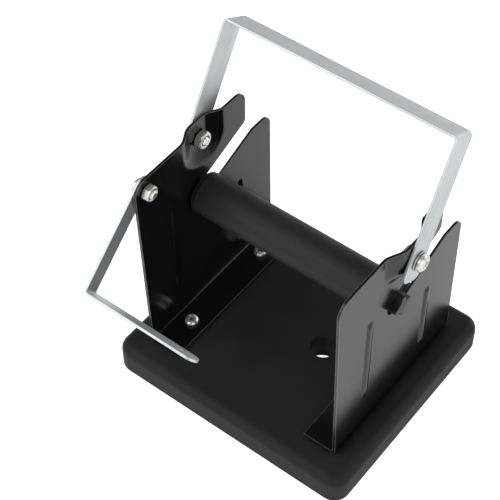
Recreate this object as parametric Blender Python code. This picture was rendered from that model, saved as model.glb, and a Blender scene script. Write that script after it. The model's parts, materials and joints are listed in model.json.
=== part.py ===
"""Reel stand for solder wire: a slab base, two slotted side plates, a lift-out roller and two swinging wire guides.

X runs along the roller, Y to the back and +Z up. The origin is the centre of the anti-slip sheet's underside.
"""

import math

import bmesh
import bpy
from mathutils import Matrix, Vector

MM = 0.001
CLEAR = 0.3 * MM
OVERCUT = 2.0 * MM

# Slab and the anti-slip sheet under it
PAD_HEIGHT = 1.7 * MM
PAD_INSET = 4.0 * MM
PAD_HOLE_RADIUS = 9.0 * MM
BASE_WIDTH = 148.0 * MM
BASE_DEPTH = 134.0 * MM
BASE_FOOT = PAD_HEIGHT + CLEAR
BASE_TOP = 20.3 * MM
BASE_CORNER = 9.0 * MM
BASE_TOP_ROUND = 5.5 * MM
BASE_FOOT_ROUND = 1.5 * MM
CABLE_HOLE_RADIUS = 7.0 * MM
CABLE_HOLE_CENTRE = (16.0 * MM, -0.5 * MM)

# Side plates
GAP = 118.0 * MM
SHEET = 1.5 * MM
BEND_RADIUS = 1.5 * MM
FLANGE_WIDTH = 18.0 * MM
PLATE_TOP = 143.6 * MM
FRONT_FOOT_Y = -51.5 * MM
FRONT_TOP_Y = -56.2 * MM
REAR_FOOT_Y = 52.2 * MM
REAR_TOP = (50.4 * MM, 109.6 * MM)
PRONG_REAR_Y = 29.3 * MM
FRONT_CORNER_ROUND = 8.0 * MM
PRONG_ROUND = 7.0 * MM
REAR_PRONG_ROUND = 6.0 * MM

# Slot that holds the roller's ends: it rises to the back
AXLE = Vector((0.0, -6.8 * MM, 100.1 * MM))
SLOT_ANGLE = math.radians(21.4)
SLOT_HALF_WIDTH = 6.65 * MM
SEAT_SHIFT = 0.8 * MM
SLOT_MOUTH_Y = 36.0 * MM

# Pressed shapes
DISH_DEPTH = 4.8 * MM
DISH_FRONT = 19.0 * MM
DISH_REAR = 14.5 * MM
DISH_BELOW = 14.0 * MM
DISH_FLOOR = 0.48
DISH_STEP = 2.0 * MM
RIB_HALF_WIDTH = 3.0 * MM
RIB_HEIGHT = 1.1 * MM
RIB_FOOT = 32.0 * MM
RIB_TOP_TAPER = 4.0 * MM
RIB_FOOT_TAPER = 12.0 * MM
RIBS = ((-28.7 * MM, 106.5 * MM), (23.5 * MM, 81.5 * MM))

# Fasteners
FLANGE_SCREW_INSET = 9.4 * MM
FLANGE_SCREW_YS = (("front", -31.2 * MM), ("rear", 29.6 * MM))
FLANGE_SCREW_RADIUS = 2.0 * MM
FLANGE_SCREW_HEAD = (4.0 * MM, 2.6 * MM)
FLANGE_SCREW_DEPTH = 12.0 * MM
BOLT_RADIUS = 2.5 * MM
BAR_BOLT_HEAD = (4.8 * MM, 3.0 * MM)
ARM_BOLT_HEAD = (4.4 * MM, 2.6 * MM)
BOLT_PROUD = 1.2 * MM
WASHER_RADIUS = 5.2 * MM
WASHER_HEIGHT = 0.8 * MM
SHIM_HEIGHT = 0.5 * MM
NUT_HEIGHT = 4.0 * MM
BAR_NUT_FLATS = 9.0 * MM
ARM_NUT_FLATS = 8.0 * MM

# Swinging guides: flat strip, legs outside the plates, and a thin shim between the arm and its plate
STRIP = 1.5 * MM
BAR_PIVOT = Vector((0.0, -2.0 * MM, 131.4 * MM))
BAR_ANGLE = math.radians(60.8)
BAR_REACH = 65.2 * MM
BAR_LEAN = 0.8 * MM
BAR_STRIP_WIDTH = 16.3 * MM
BAR_TAIL = 13.2 * MM
BAR_BEND = 1.2 * MM
ARM_PIVOT = Vector((0.0, -48.2 * MM, 135.5 * MM))
ARM_ANGLE = math.radians(222.5)
ARM_REACH = 58.3 * MM
ARM_STRIP_WIDTH = 10.0 * MM
ARM_BEND = 0.8 * MM
ARM_BAR_LENGTH = 68.5 * MM
ARM_EYE_RADIUS = 1.2 * MM
ARM_EYE_INSET = 10.0 * MM

BAR_STRIP_X = GAP / 2 + DISH_DEPTH + SHEET + CLEAR
ARM_STRIP_X = GAP / 2 + SHEET + CLEAR + SHIM_HEIGHT + CLEAR

# Roller
TUBE_RADIUS = 11.5 * MM
TUBE_WALL = 2.2 * MM
BUSH_FLANGE = 1.8 * MM
BUSH_LENGTH = 12.0 * MM
TUBE_END_GAP = 1.0 * MM
HUB_RADIUS = 5.0 * MM
HUB_LENGTH = 18.0 * MM
STAR_RADIUS = 6.5 * MM
STAR_WAIST = 3.7 * MM
STAR_TIP_HALF = 0.9 * MM
STAR_PROUD = 4.2 * MM
ROD_RADIUS = 3.0 * MM

HALF_GAP = GAP / 2
FLANGE_TOP = BASE_TOP + CLEAR + SHEET
SIDES = (("left", -1), ("right", 1))


def clear_scene():
    for obj in list(bpy.data.objects):
        bpy.data.objects.remove(obj, do_unlink=True)


def material(name, colour, roughness, metallic):
    made = bpy.data.materials.new(name)
    made.use_nodes = True
    shader = made.node_tree.nodes["Principled BSDF"]
    shader.inputs["Base Color"].default_value = (*colour, 1.0)
    shader.inputs["Roughness"].default_value = roughness
    shader.inputs["Metallic"].default_value = metallic
    return made


def make_object(name, bm, look=None, smooth_angle=35.0):
    """Turn a bmesh into a named object whose faces point out."""
    bmesh.ops.recalc_face_normals(bm, faces=bm.faces)
    mesh = bpy.data.meshes.new(name)
    bm.to_mesh(mesh)
    bm.free()
    mesh.shade_smooth()
    mesh.set_sharp_from_angle(angle=math.radians(smooth_angle))
    obj = bpy.data.objects.new(name, mesh)
    bpy.context.scene.collection.objects.link(obj)
    if look is None:
        obj.hide_render = True
        obj.display_type = "WIRE"
    else:
        mesh.materials.append(look)
    return obj


def boolean(obj, cutter, operation="DIFFERENCE"):
    step = obj.modifiers.new(f"{operation.lower()} {cutter.name}", "BOOLEAN")
    step.operation = operation
    step.solver = "EXACT"
    step.object = cutter


def prism(outline, low, high, axis="X"):
    """Bmesh of a closed outline pushed along an axis. The outline's two numbers are the other two axes, in order."""
    bm = bmesh.new()

    def point(pair, along):
        a, b = pair
        return {"X": (along, a, b), "Y": (a, along, b), "Z": (a, b, along)}[axis]

    ends = [[bm.verts.new(point(pair, along)) for pair in outline] for along in (low, high)]
    bm.faces.new(ends[0])
    bm.faces.new(ends[1])
    for i in range(len(outline)):
        j = (i + 1) % len(outline)
        bm.faces.new((ends[0][i], ends[0][j], ends[1][j], ends[1][i]))
    return bm


def circle(radius, steps, centre=(0.0, 0.0), turn=0.0):
    return [
        (
            centre[0] + radius * math.cos(turn + 2 * math.pi * i / steps),
            centre[1] + radius * math.sin(turn + 2 * math.pi * i / steps),
        )
        for i in range(steps)
    ]


def rounded(corners, step=math.radians(15)):
    """Outline through the corners (a, b, radius), each corner rounded by an arc of its radius."""
    outline = []
    count = len(corners)
    for i, (a, b, radius) in enumerate(corners):
        here = Vector((a, b))
        back = (Vector(corners[i - 1][:2]) - here).normalized()
        ahead = (Vector(corners[(i + 1) % count][:2]) - here).normalized()
        if radius == 0:
            outline.append(tuple(here))
            continue
        half = back.angle(ahead) / 2
        centre = here + (back + ahead).normalized() * radius / math.sin(half)
        first = here + back * radius / math.tan(half) - centre
        last = here + ahead * radius / math.tan(half) - centre
        turn = first.angle_signed(last)
        pieces = max(2, math.ceil(abs(turn) / step))
        for k in range(pieces + 1):
            arm = first.copy()
            arm.rotate(Matrix.Rotation(-turn * k / pieces, 2))
            outline.append(tuple(centre + arm))
    return outline


def lathe(profile, steps=32):
    """Bmesh of a profile of (x, radius) turned about X. The first and last radius are 0."""
    bm = bmesh.new()
    rings = []
    for x, radius in profile:
        if radius == 0:
            rings.append([bm.verts.new((x, 0, 0))])
        else:
            rings.append([bm.verts.new((x, a, b)) for a, b in circle(radius, steps)])
    for low, high in zip(rings, rings[1:]):
        for i in range(steps):
            j = (i + 1) % steps
            ring = [low[i % len(low)], low[j % len(low)], high[j % len(high)], high[i % len(high)]]
            bm.faces.new(list(dict.fromkeys(ring)))
    return bm


def cylinder_cutter(name, radius, low, high, axis="X", steps=32):
    return make_object(name, prism(circle(radius, steps), low, high, axis))


# ---------------------------------------------------------------- slab base


def screw_centres():
    for side, sign in SIDES:
        for end, y in FLANGE_SCREW_YS:
            yield f"{side}_{end}", (sign * (HALF_GAP - FLANGE_SCREW_INSET), y)


def slab_ring(inset):
    half_x = BASE_WIDTH / 2 - inset
    half_y = BASE_DEPTH / 2 - inset
    radius = BASE_CORNER - inset
    corners = [(half_x, half_y), (-half_x, half_y), (-half_x, -half_y), (half_x, -half_y)]
    return rounded([(x, y, radius) for x, y in corners], math.radians(11.25))


def quarter(radius, steps):
    """(inset, drop) pairs down a quarter round, from its flat top to its side."""
    for k in range(steps + 1):
        turn = math.pi / 2 * k / steps
        yield radius * (1 - math.sin(turn)), radius * (1 - math.cos(turn))


def build_base(look):
    bm = bmesh.new()
    levels = [(BASE_FOOT + drop, inset) for inset, drop in quarter(BASE_FOOT_ROUND, 3)]
    levels += [(BASE_TOP - drop, inset) for inset, drop in reversed(list(quarter(BASE_TOP_ROUND, 5)))]
    rings = [[bm.verts.new((x, y, z)) for x, y in slab_ring(inset)] for z, inset in levels]
    bm.faces.new(rings[0])
    bm.faces.new(rings[-1])
    for low, high in zip(rings, rings[1:]):
        for i in range(len(low)):
            j = (i + 1) % len(low)
            bm.faces.new((low[i], low[j], high[j], high[i]))
    base = make_object("base_slab", bm, look)
    hole = cylinder_cutter(
        "cable_hole_cutter", CABLE_HOLE_RADIUS, -OVERCUT, BASE_TOP + OVERCUT, "Z", 40
    )
    hole.location = (*CABLE_HOLE_CENTRE, 0)
    boolean(base, hole)
    for name, (x, y) in screw_centres():
        pilot = cylinder_cutter(
            f"{name}_pilot_cutter",
            FLANGE_SCREW_RADIUS + CLEAR,
            BASE_TOP - FLANGE_SCREW_DEPTH - CLEAR,
            BASE_TOP + OVERCUT,
            "Z",
            20,
        )
        pilot.location = (x, y, 0)
        boolean(base, pilot)


def build_pad(look):
    pad = make_object("anti_slip_pad", prism(slab_ring(PAD_INSET), 0, PAD_HEIGHT, "Z"), look)
    hole = cylinder_cutter(
        "pad_hole_cutter", PAD_HOLE_RADIUS, -OVERCUT, PAD_HEIGHT + OVERCUT, "Z", 40
    )
    hole.location = (*CABLE_HOLE_CENTRE, 0)
    boolean(pad, hole)


# --------------------------------------------------------------- side plates


def slot_z(y):
    """Height of the slot's centre line."""
    return AXLE.z + (y - AXLE.y) * math.tan(SLOT_ANGLE)


def plate_outline():
    """Outline of a side plate in YZ, anticlockwise from its front foot."""
    along = Vector((math.cos(SLOT_ANGLE), math.sin(SLOT_ANGLE)))
    across = Vector((-along.y, along.x))
    seat = Vector((AXLE.y, AXLE.z)) - along * SEAT_SHIFT
    rise = SLOT_HALF_WIDTH / math.cos(SLOT_ANGLE)
    lip = (SLOT_MOUTH_Y, slot_z(SLOT_MOUTH_Y) - rise)
    outline = rounded(
        [
            (FRONT_FOOT_Y, 0, 0),
            (REAR_FOOT_Y, 0, 0),
            (*REAR_TOP, REAR_PRONG_ROUND),
            (*lip, 6.0 * MM),
            (*(seat - across * SLOT_HALF_WIDTH), 0),
        ]
    )
    for k in range(1, 12):
        turn = SLOT_ANGLE - math.pi / 2 - math.pi * k / 12
        outline.append(tuple(seat + Vector((math.cos(turn), math.sin(turn))) * SLOT_HALF_WIDTH))
    lip_above = (PRONG_REAR_Y, slot_z(PRONG_REAR_Y) + rise)
    beyond = seat + across * SLOT_HALF_WIDTH
    upper = rounded(
        [
            (*beyond, 0),
            (*lip_above, 3.0 * MM),
            (PRONG_REAR_Y, PLATE_TOP, PRONG_ROUND),
            (FRONT_TOP_Y, PLATE_TOP, FRONT_CORNER_ROUND),
            (FRONT_FOOT_Y, 0, 0),
        ]
    )
    return outline + upper[:-1]


def smooth(value):
    value = min(1.0, max(0.0, value))
    return value * value * (3 - 2 * value)


def press_depth(y, z):
    """How far the sheet is pressed outward at a place: the dish round the bar's pivot, and the two ribs."""
    across = y - BAR_PIVOT.y
    across /= DISH_FRONT if across < 0 else DISH_REAR
    below = min(0.0, z - BAR_PIVOT.z) / DISH_BELOW
    depth = DISH_DEPTH * smooth((1 - math.hypot(across, below)) / (1 - DISH_FLOOR))
    for rib_y, rib_top in RIBS:
        ends = smooth((rib_top - z) / RIB_TOP_TAPER) * smooth((z - RIB_FOOT) / RIB_FOOT_TAPER)
        width = RIB_HALF_WIDTH * max(ends, 0.01)
        depth += RIB_HEIGHT * ends * smooth(1 - abs(y - rib_y) / width)
    return depth


def spread(low, high, step):
    count = max(1, math.ceil((high - low) / step))
    return [low + (high - low) * i / count for i in range(count + 1)]


def sheet_lines():
    """Y and Z places of the sheet's mesh lines, close together only where it is pressed."""
    ys = [FRONT_TOP_Y - OVERCUT, REAR_FOOT_Y + OVERCUT]
    ys += spread(BAR_PIVOT.y - DISH_FRONT, BAR_PIVOT.y + DISH_REAR, DISH_STEP)
    zs = [FLANGE_TOP + BEND_RADIUS, PLATE_TOP + OVERCUT]
    zs += spread(BAR_PIVOT.z - DISH_BELOW, PLATE_TOP, DISH_STEP)
    for rib_y, rib_top in RIBS:
        ys += spread(rib_y - RIB_HALF_WIDTH, rib_y + RIB_HALF_WIDTH, RIB_HALF_WIDTH / 3)
        zs += spread(rib_top - RIB_TOP_TAPER, rib_top, RIB_TOP_TAPER / 3)
    zs += spread(RIB_FOOT, RIB_FOOT + RIB_FOOT_TAPER, RIB_FOOT_TAPER / 3)
    return [sorted(set(round(v, 6) for v in values)) for values in (ys, zs)]


def sheet_mesh():
    """The right plate's inner face, with its bend and its flange, as an open sheet."""
    bm = bmesh.new()
    ys, zs = sheet_lines()
    rows = [[(HALF_GAP + press_depth(y, z), y, z) for y in ys] for z in reversed(zs)]
    centre = (HALF_GAP - BEND_RADIUS, FLANGE_TOP + BEND_RADIUS)
    for k in range(1, 6):
        turn = math.pi / 2 * k / 5
        x = centre[0] + BEND_RADIUS * math.cos(turn)
        z = centre[1] - BEND_RADIUS * math.sin(turn)
        rows.append([(x, y, z) for y in ys])
    rows.append([(HALF_GAP - FLANGE_WIDTH, y, FLANGE_TOP) for y in ys])
    grid = [[bm.verts.new(place) for place in row] for row in rows]
    for upper, lower in zip(grid, grid[1:]):
        for i in range(len(ys) - 1):
            bm.faces.new((upper[i], upper[i + 1], lower[i + 1], lower[i]))
    bmesh.ops.recalc_face_normals(bm, faces=bm.faces)
    return bm


def build_plate(side, sign, look):
    bm = sheet_mesh()
    if sign < 0:
        bmesh.ops.scale(bm, vec=(-1, 1, 1), verts=bm.verts)
    mesh = bpy.data.meshes.new(f"{side}_side_plate")
    bm.normal_update()
    top = max(bm.faces, key=lambda face: face.calc_center_median().z)
    if top.normal.x * sign > 0:
        bmesh.ops.reverse_faces(bm, faces=bm.faces)
    bm.to_mesh(mesh)
    bm.free()
    mesh.materials.append(look)
    plate = bpy.data.objects.new(f"{side}_side_plate", mesh)
    bpy.context.scene.collection.objects.link(plate)
    thick = plate.modifiers.new("sheet thickness", "SOLIDIFY")
    thick.thickness = SHEET
    thick.offset = -1.0
    thick.use_even_offset = True
    reach = sorted((sign * (HALF_GAP - FLANGE_WIDTH - OVERCUT), sign * (HALF_GAP + 10 * MM)))
    outline = make_object(f"{side}_plate_outline", prism(plate_outline(), *reach))
    boolean(plate, outline, "INTERSECT")
    eye = cylinder_cutter(f"{side}_bar_eye_cutter", BOLT_RADIUS + CLEAR, *reach)
    eye.location = BAR_PIVOT
    boolean(plate, eye)
    if sign < 0:
        eye = cylinder_cutter("arm_eye_cutter", BOLT_RADIUS + CLEAR, *reach)
        eye.location = ARM_PIVOT
        boolean(plate, eye)
    for name, (x, y) in screw_centres():
        if name.startswith(side):
            hole = cylinder_cutter(
                f"{name}_flange_cutter", FLANGE_SCREW_RADIUS + CLEAR, BASE_TOP, 30 * MM, "Z", 20
            )
            hole.location = (x, y, 0)
            boolean(plate, hole)
    flat = plate.modifiers.new("merge flat faces", "DECIMATE")
    flat.decimate_type = "DISSOLVE"
    flat.angle_limit = math.radians(0.2)


# ----------------------------------------------------------------- fasteners


def pan_head_profile(radius, height, shank_radius, shank_length):
    """Profile of a pan-head screw: the head's bearing face at x = 0, the head at +x, the shank at -x."""
    profile = [(-shank_length, 0), (-shank_length, shank_radius * 0.7)]
    profile += [(-shank_length + shank_radius * 0.4, shank_radius), (0, shank_radius), (0, radius * 0.94)]
    for k in range(7):
        turn = math.pi / 2 * k / 6
        profile.append((height * (0.35 + 0.65 * math.sin(turn)), radius * math.cos(turn) ** 0.6))
    profile[-1] = (height, 0)
    return profile


def cross_cutter(name, radius, height):
    """Cross recess for a pan head: four arms that narrow as they go down."""
    half = radius * 0.15
    reach = radius * 0.58
    outline = []
    for k in range(4):
        turn = math.pi / 2 * k
        for a, b in ((reach, -half), (reach, half), (half, half)):
            outline.append(
                (a * math.cos(turn) - b * math.sin(turn), a * math.sin(turn) + b * math.cos(turn))
            )
    bm = prism(outline, height * 0.3, height + OVERCUT)
    for vert in bm.verts:
        if vert.co.x < height * 0.5:
            vert.co.yz = vert.co.yz * 0.55
    return make_object(name, bm)


def build_screw(name, head, shank_radius, shank_length, look, steps=28):
    """Pan-head screw along X, its head towards +X and its origin on the bearing face."""
    bm = lathe(pan_head_profile(*head, shank_radius, shank_length), steps)
    screw = make_object(name, bm, look)
    recess = cross_cutter(f"{name}_recess_cutter", *head)
    recess.parent = screw
    boolean(screw, recess)
    return screw


def build_ring(name, outline, bore, height, look, steps=28):
    """Flat piece of a given outline with a round bore, standing along X from its origin."""
    ring = make_object(name, prism(outline, 0, height), look)
    hole = cylinder_cutter(f"{name}_bore_cutter", bore, -OVERCUT, height + OVERCUT, "X", steps)
    hole.parent = ring
    boolean(ring, hole)
    return ring


def build_nut(name, flats, look):
    """Hex nut along X with its corners turned off on the outer face."""
    nut = build_ring(name, circle(flats / math.sqrt(3), 6), BOLT_RADIUS + CLEAR, NUT_HEIGHT, look)
    corner = flats / math.sqrt(3)
    chamfer = [
        (-OVERCUT, 0),
        (-OVERCUT, corner * 1.2),
        (NUT_HEIGHT * 0.72, corner * 1.02),
        (NUT_HEIGHT, flats * 0.47),
        (NUT_HEIGHT, 0),
    ]
    cap = make_object(f"{name}_chamfer_form", lathe(chamfer, 36))
    cap.parent = nut
    boolean(nut, cap, "INTERSECT")
    return nut


def build_flange_screws(look):
    for name, (x, y) in screw_centres():
        screw = build_screw(
            f"flange_screw_{name}", FLANGE_SCREW_HEAD, FLANGE_SCREW_RADIUS, FLANGE_SCREW_DEPTH, look
        )
        screw.rotation_euler.y = -math.pi / 2
        screw.location = (x, y, FLANGE_TOP + CLEAR)


def face_outward(obj, sign, x, pivot):
    """Stand a fastener on a plate: its +X points away from the stand's middle when sign is its side."""
    obj.location = (x, pivot.y, pivot.z)
    if sign < 0:
        obj.rotation_euler.z = math.pi


def build_washer(label, side, pivot, x, height, look):
    washer = build_ring(f"{label}_washer", circle(WASHER_RADIUS, 32), BOLT_RADIUS + CLEAR, height, look)
    face_outward(washer, side, side * x, pivot)


def build_bolt_and_nut(label, side, pivot, head_x, plate_x, sizes, look):
    """Bolt with its head's bearing face at head_x, and its nut against the plate's inner face at plate_x."""
    head, nut_flats = sizes
    shank = head_x - plate_x + CLEAR + NUT_HEIGHT + BOLT_PROUD
    bolt = build_screw(f"{label}_bolt", head, BOLT_RADIUS, shank, look)
    face_outward(bolt, side, side * head_x, pivot)
    nut = build_nut(f"{label}_nut", nut_flats, look)
    face_outward(nut, -side, side * (plate_x - CLEAR), pivot)


def build_pivots(bolt_look, washer_look):
    """The bar's two pivots have a washer under the head. The arm's one has a shim against the plate."""
    washer_x = BAR_STRIP_X + STRIP + CLEAR
    head_x = washer_x + WASHER_HEIGHT + CLEAR
    sizes = (BAR_BOLT_HEAD, BAR_NUT_FLATS)
    for name, side in SIDES:
        label = f"guide_bar_{name}"
        build_washer(label, side, BAR_PIVOT, washer_x, WASHER_HEIGHT, washer_look)
        build_bolt_and_nut(label, side, BAR_PIVOT, head_x, HALF_GAP + DISH_DEPTH, sizes, bolt_look)
    side = SIDES[0][1]
    sizes = (ARM_BOLT_HEAD, ARM_NUT_FLATS)
    head_x = ARM_STRIP_X + STRIP + CLEAR
    build_washer("guide_arm", side, ARM_PIVOT, HALF_GAP + SHEET + CLEAR, SHIM_HEIGHT, washer_look)
    build_bolt_and_nut("guide_arm", side, ARM_PIVOT, head_x, HALF_GAP, sizes, bolt_look)


# -------------------------------------------------------------------- guides


def bend_strip(path, bend, width):
    """Bmesh of a flat strip: path holds the (x, z) corners of its outer face, and the strip is wide along Y."""
    outer = [(*path[0], 0)] + [(*p, bend + STRIP) for p in path[1:-1]] + [(*path[-1], 0)]
    inner = []
    for i, point in enumerate(path):
        here = Vector(point)
        ways = []
        if i > 0:
            ways.append((here - Vector(path[i - 1])).normalized())
        if i < len(path) - 1:
            ways.append((Vector(path[i + 1]) - here).normalized())
        shift = sum((Vector((way.y, -way.x)) for way in ways), Vector((0, 0)))
        ends = i in (0, len(path) - 1)
        inner.append((*(here + shift * STRIP), 0 if ends else bend))
    return prism(rounded(outer + inner[::-1]), -width / 2, width / 2, "Y")


def stadium(low, high, width):
    """Outline in YZ of a bar with round ends."""
    radius = width / 2
    half_turn = [math.pi * k / 12 for k in range(13)]
    top = [(radius * math.cos(t), high - radius + radius * math.sin(t)) for t in half_turn]
    foot = [(-radius * math.cos(t), low + radius - radius * math.sin(t)) for t in half_turn]
    return top + foot


def build_guide_bar(look):
    """U-shaped bar over the roller. It stands up here, and is turned to its rest angle about its pivot."""
    outer = BAR_STRIP_X + STRIP
    foot = outer + BAR_LEAN * BAR_TAIL / BAR_REACH
    top = outer - BAR_LEAN
    path = [(-foot, -BAR_TAIL), (-top, BAR_REACH), (top, BAR_REACH), (foot, -BAR_TAIL)]
    bar = make_object("guide_bar", bend_strip(path, BAR_BEND, BAR_STRIP_WIDTH), look)
    bar.location = BAR_PIVOT
    bar.rotation_euler.x = BAR_ANGLE - math.pi / 2
    ends = make_object(
        "bar_ends_form",
        prism(stadium(-BAR_TAIL, BAR_REACH + 2 * BAR_STRIP_WIDTH, BAR_STRIP_WIDTH), -2 * outer, 2 * outer),
    )
    eye = cylinder_cutter("guide_bar_eye_cutter", BOLT_RADIUS + CLEAR, -2 * outer, 2 * outer)
    for form, operation in ((ends, "INTERSECT"), (eye, "DIFFERENCE")):
        form.parent = bar
        boolean(bar, form, operation)


def build_guide_arm(look):
    """L-shaped arm on the left plate, its free bar running in front of the roller."""
    outer = ARM_STRIP_X + STRIP
    tail = ARM_STRIP_WIDTH / 2 + 1.5 * MM
    path = [(-outer, -tail), (-outer, ARM_REACH), (-outer + ARM_BAR_LENGTH, ARM_REACH)]
    arm = make_object("guide_arm", bend_strip(path, ARM_BEND, ARM_STRIP_WIDTH), look)
    arm.location = ARM_PIVOT
    arm.rotation_euler.x = ARM_ANGLE - math.pi / 2
    leg_end = make_object(
        "arm_leg_form",
        prism(stadium(-tail, 2 * ARM_REACH, ARM_STRIP_WIDTH), -2 * outer, 2 * outer),
    )
    tip = [(-outer + ARM_BAR_LENGTH - a, b) for b, a in stadium(0, 3 * outer, ARM_STRIP_WIDTH)]
    bar_end = make_object("arm_tip_form", prism(tip, -2 * tail, 2 * ARM_REACH, "Z"))
    pivot_eye = cylinder_cutter("guide_arm_eye_cutter", BOLT_RADIUS + CLEAR, -2 * outer, 0)
    wire_eye = cylinder_cutter("wire_eye_cutter", ARM_EYE_RADIUS, 0, 2 * ARM_REACH, "Z", 20)
    wire_eye.location.x = -outer + ARM_BAR_LENGTH - ARM_EYE_INSET
    steps = ((leg_end, "INTERSECT"), (bar_end, "INTERSECT"), (pivot_eye, "DIFFERENCE"), (wire_eye, "DIFFERENCE"))
    for form, operation in steps:
        form.parent = arm
        boolean(arm, form, operation)


# -------------------------------------------------------------------- roller


def star_outline():
    """Four-pointed cross section of the roller's ends, points up, down, front and back."""
    outline = []
    flank = math.atan2(STAR_TIP_HALF, STAR_RADIUS)
    for k in range(4):
        turn = math.pi / 2 * k
        for radius, angle in (
            (STAR_RADIUS, turn - flank),
            (STAR_RADIUS, turn + flank),
            (STAR_WAIST * 1.18, turn + math.radians(27)),
            (STAR_WAIST, turn + math.radians(45)),
            (STAR_WAIST * 1.18, turn + math.radians(63)),
        ):
            outline.append((radius * math.cos(angle), radius * math.sin(angle)))
    return outline


def build_roller(looks):
    tube_end = HALF_GAP - TUBE_END_GAP - BUSH_FLANGE
    bore = TUBE_RADIUS - TUBE_WALL
    tube = make_object("reel_tube", prism(circle(TUBE_RADIUS, 48), -tube_end, tube_end), looks["tube"])
    hollow = cylinder_cutter("tube_bore_cutter", bore, -HALF_GAP, HALF_GAP, "X", 48)
    hollow.parent = tube
    boolean(tube, hollow)
    tube.location = AXLE

    star_foot = HALF_GAP - TUBE_END_GAP / 2
    rod_end = star_foot - HUB_LENGTH / 2
    rod = make_object("axle_rod", prism(circle(ROD_RADIUS, 24), -rod_end, rod_end), looks["rod"])
    rod.location = AXLE

    for side, sign in SIDES:
        profile = [
            (tube_end - BUSH_LENGTH, 0),
            (tube_end - BUSH_LENGTH, bore - CLEAR),
            (tube_end + CLEAR, bore - CLEAR),
            (tube_end + CLEAR, TUBE_RADIUS - CLEAR),
            (tube_end + BUSH_FLANGE, TUBE_RADIUS - CLEAR),
            (tube_end + BUSH_FLANGE, 0),
        ]
        bush = make_object(f"tube_bush_{side}", lathe(profile, 48), looks["bush"])
        hole = cylinder_cutter(f"{side}_bush_cutter", HUB_RADIUS + CLEAR, 0, HALF_GAP, "X", 36)
        hole.parent = bush
        boolean(bush, hole)

        star = prism(star_outline(), star_foot - 1 * MM, HALF_GAP + SHEET + STAR_PROUD)
        end = make_object(f"axle_end_{side}", star, looks["end"])
        hub = make_object(f"{side}_hub_form", prism(circle(HUB_RADIUS, 36), star_foot - HUB_LENGTH, star_foot))
        trim = prism(circle(2 * STAR_RADIUS, 24), star_foot - 2 * HUB_LENGTH, star_foot)
        trim = make_object(f"{side}_star_trim_cutter", trim)
        socket = cylinder_cutter(f"{side}_rod_cutter", ROD_RADIUS + CLEAR, 0, rod_end + CLEAR, "X", 24)
        for form, operation in ((trim, "DIFFERENCE"), (hub, "UNION"), (socket, "DIFFERENCE")):
            form.parent = end
            boolean(end, form, operation)
        for obj in (bush, end):
            obj.location = AXLE
            if sign < 0:
                obj.rotation_euler.z = math.pi


def main():
    clear_scene()
    slab_black = material("slab_black", (0.016, 0.016, 0.018), 0.55, 0.0)
    plate_black = material("plate_black", (0.010, 0.010, 0.011), 0.18, 0.2)
    tube_black = material("tube_black", (0.028, 0.028, 0.030), 0.6, 0.0)
    plug_black = material("plug_black", (0.020, 0.020, 0.020), 0.5, 0.0)
    zinc = material("zinc_strip", (0.62, 0.64, 0.65), 0.35, 1.0)
    nickel = material("nickel", (0.75, 0.74, 0.71), 0.2, 1.0)
    steel = material("plain_steel", (0.55, 0.55, 0.56), 0.3, 1.0)
    rubber = material("pad_rubber", (0.03, 0.03, 0.03), 0.8, 0.0)

    build_base(slab_black)
    build_pad(rubber)
    for side, sign in SIDES:
        build_plate(side, sign, plate_black)
    build_flange_screws(nickel)
    build_pivots(nickel, steel)
    build_guide_bar(zinc)
    build_guide_arm(zinc)
    build_roller({"tube": tube_black, "rod": steel, "bush": plug_black, "end": plug_black})


main()
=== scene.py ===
"""Looks for the solder wire reel stand: fine meshes, procedural materials, studio light and camera."""

import json
import math

import bmesh
import bpy
from mathutils import Matrix, Vector


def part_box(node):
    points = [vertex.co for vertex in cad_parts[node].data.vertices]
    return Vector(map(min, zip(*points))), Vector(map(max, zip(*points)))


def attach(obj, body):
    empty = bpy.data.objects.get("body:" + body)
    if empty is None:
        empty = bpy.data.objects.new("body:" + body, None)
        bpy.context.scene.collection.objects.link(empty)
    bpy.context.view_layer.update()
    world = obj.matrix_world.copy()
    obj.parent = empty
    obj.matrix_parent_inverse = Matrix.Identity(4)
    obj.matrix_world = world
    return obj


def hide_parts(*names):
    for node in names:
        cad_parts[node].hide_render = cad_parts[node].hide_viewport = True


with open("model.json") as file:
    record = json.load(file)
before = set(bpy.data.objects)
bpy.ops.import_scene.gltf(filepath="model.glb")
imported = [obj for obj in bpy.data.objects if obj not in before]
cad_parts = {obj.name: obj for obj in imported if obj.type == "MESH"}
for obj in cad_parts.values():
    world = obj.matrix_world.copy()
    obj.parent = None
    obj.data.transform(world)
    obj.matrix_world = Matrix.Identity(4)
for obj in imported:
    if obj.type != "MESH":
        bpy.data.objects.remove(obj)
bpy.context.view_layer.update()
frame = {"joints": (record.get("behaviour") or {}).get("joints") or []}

MM = 0.001
CLEAR = 0.3 * MM
OVERCUT = 2.0 * MM
HINGE = {joint["name"]: Vector(joint["pos_m"]) for joint in frame["joints"]}
SIDES = (("left", -1), ("right", 1))
LOOK_SUFFIX = "_look"

# The frame's places
slab_low, slab_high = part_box("base_slab")
plate_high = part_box("right_side_plate")[1]
pad_low, pad_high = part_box("anti_slip_pad")
tube_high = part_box("reel_tube")[1]
AXLE = HINGE["roller_spin"]
BAR_PIVOT = Vector((0.0, *HINGE["bar_hinge"].yz))
ARM_PIVOT = Vector((0.0, *HINGE["arm_hinge"].yz))

# Slab
BASE_CORNER = 9.0 * MM
BASE_TOP_ROUND = 5.5 * MM
BASE_FOOT_ROUND = 1.5 * MM
CABLE_HOLE_RADIUS = 7.0 * MM
CABLE_HOLE_CENTRE = (16.0 * MM, -0.5 * MM)
CABLE_HOLE_CHAMFER = 0.4 * MM
CABLE_HOLE_FLARE = 2.0 * MM

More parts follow.
